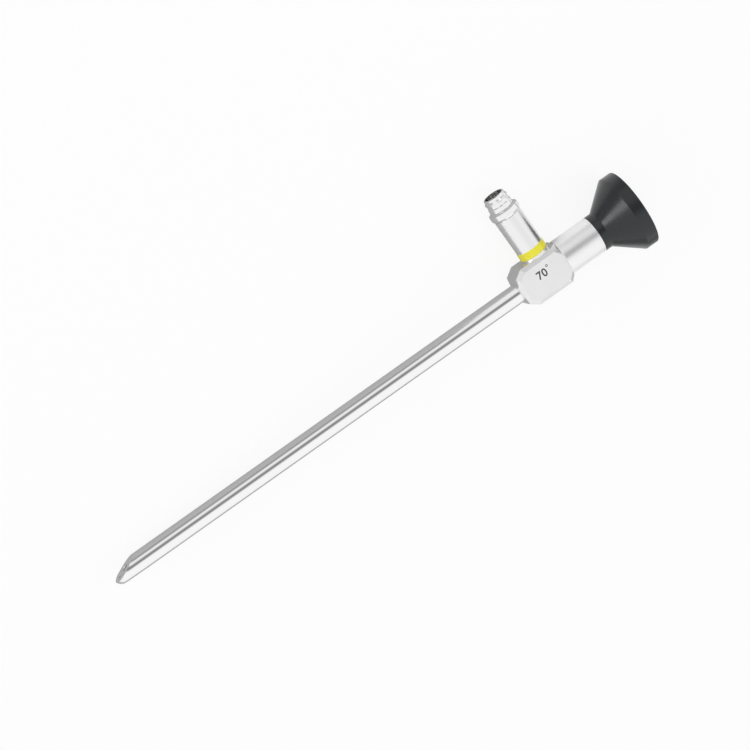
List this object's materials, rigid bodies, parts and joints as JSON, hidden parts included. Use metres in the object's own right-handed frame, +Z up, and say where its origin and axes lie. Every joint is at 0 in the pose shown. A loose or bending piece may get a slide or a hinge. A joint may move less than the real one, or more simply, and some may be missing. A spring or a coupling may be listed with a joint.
{
  "type": "rigid endoscope",
  "caption": "Straight metal viewing telescope with an angled distal window, a hub with a leaning light-guide post and a flared black eyecup, lying at rest.",
  "frame": {"origin": "axis of the shaft at the distal face of the hub block, where the working length starts", "axes": "+Z up as the instrument lies at rest, +X from the tip towards the eyecup and level, +Y level, to the side of the light post"},
  "size_m": [0.2489, 0.0516, 0.0322],
  "materials": {
    "shaft_steel": "satin drawn and polished stainless steel",
    "block_steel": "fine blasted stainless steel",
    "sleeve_steel": "satin turned stainless steel",
    "post_steel": "satin turned stainless steel",
    "connector_steel": "turned stainless steel",
    "inner_steel": "plain",
    "black_metal": "black anodised",
    "yellow_plastic": "glossy",
    "black_plastic": "satin, turned",
    "optical_glass": "polished, coated",
    "light_fibre": "polished fibre ends in cement",
    "black_rubber": "moulded"
  },
  "bodies": {
    "root": {"colour_ring": "yellow_plastic", "cup_seal": "black_rubber", "deflecting_prism": "optical_glass", "distal_window": "optical_glass", "eyecup": "black_plastic", "eyepiece_sleeve": "sleeve_steel", "eyepiece_window": "optical_glass", "fibre_ferrule": "inner_steel", "field_stop": "black_metal", "hub_block": "block_steel", "light_connector": "connector_steel", "light_fibres": "light_fibre", "objective_front_lens": "optical_glass", "objective_rear_lens": "optical_glass", "ocular_front_lens": "optical_glass", "ocular_rear_lens": "optical_glass", "ocular_ring": "black_metal", "ocular_tube": "black_metal", "optic_tube": "inner_steel", "outer_tube": "shaft_steel", "post_barrel": "post_steel", "post_base": "post_steel", "post_seal": "black_rubber", "rod_lens_1": "optical_glass", "rod_lens_2": "optical_glass", "rod_lens_3": "optical_glass", "rod_lens_4": "optical_glass", "rod_lens_5": "optical_glass", "rod_lens_6": "optical_glass", "rod_lens_7": "optical_glass", "rod_spacer_1": "black_metal", "rod_spacer_2": "black_metal", "rod_spacer_3": "black_metal", "rod_spacer_4": "black_metal", "rod_spacer_5": "black_metal", "rod_spacer_6": "black_metal", "sleeve_seal": "black_rubber", "tip_housing": "shaft_steel", "window_ring": "black_metal"}
  },
  "joints": []
}
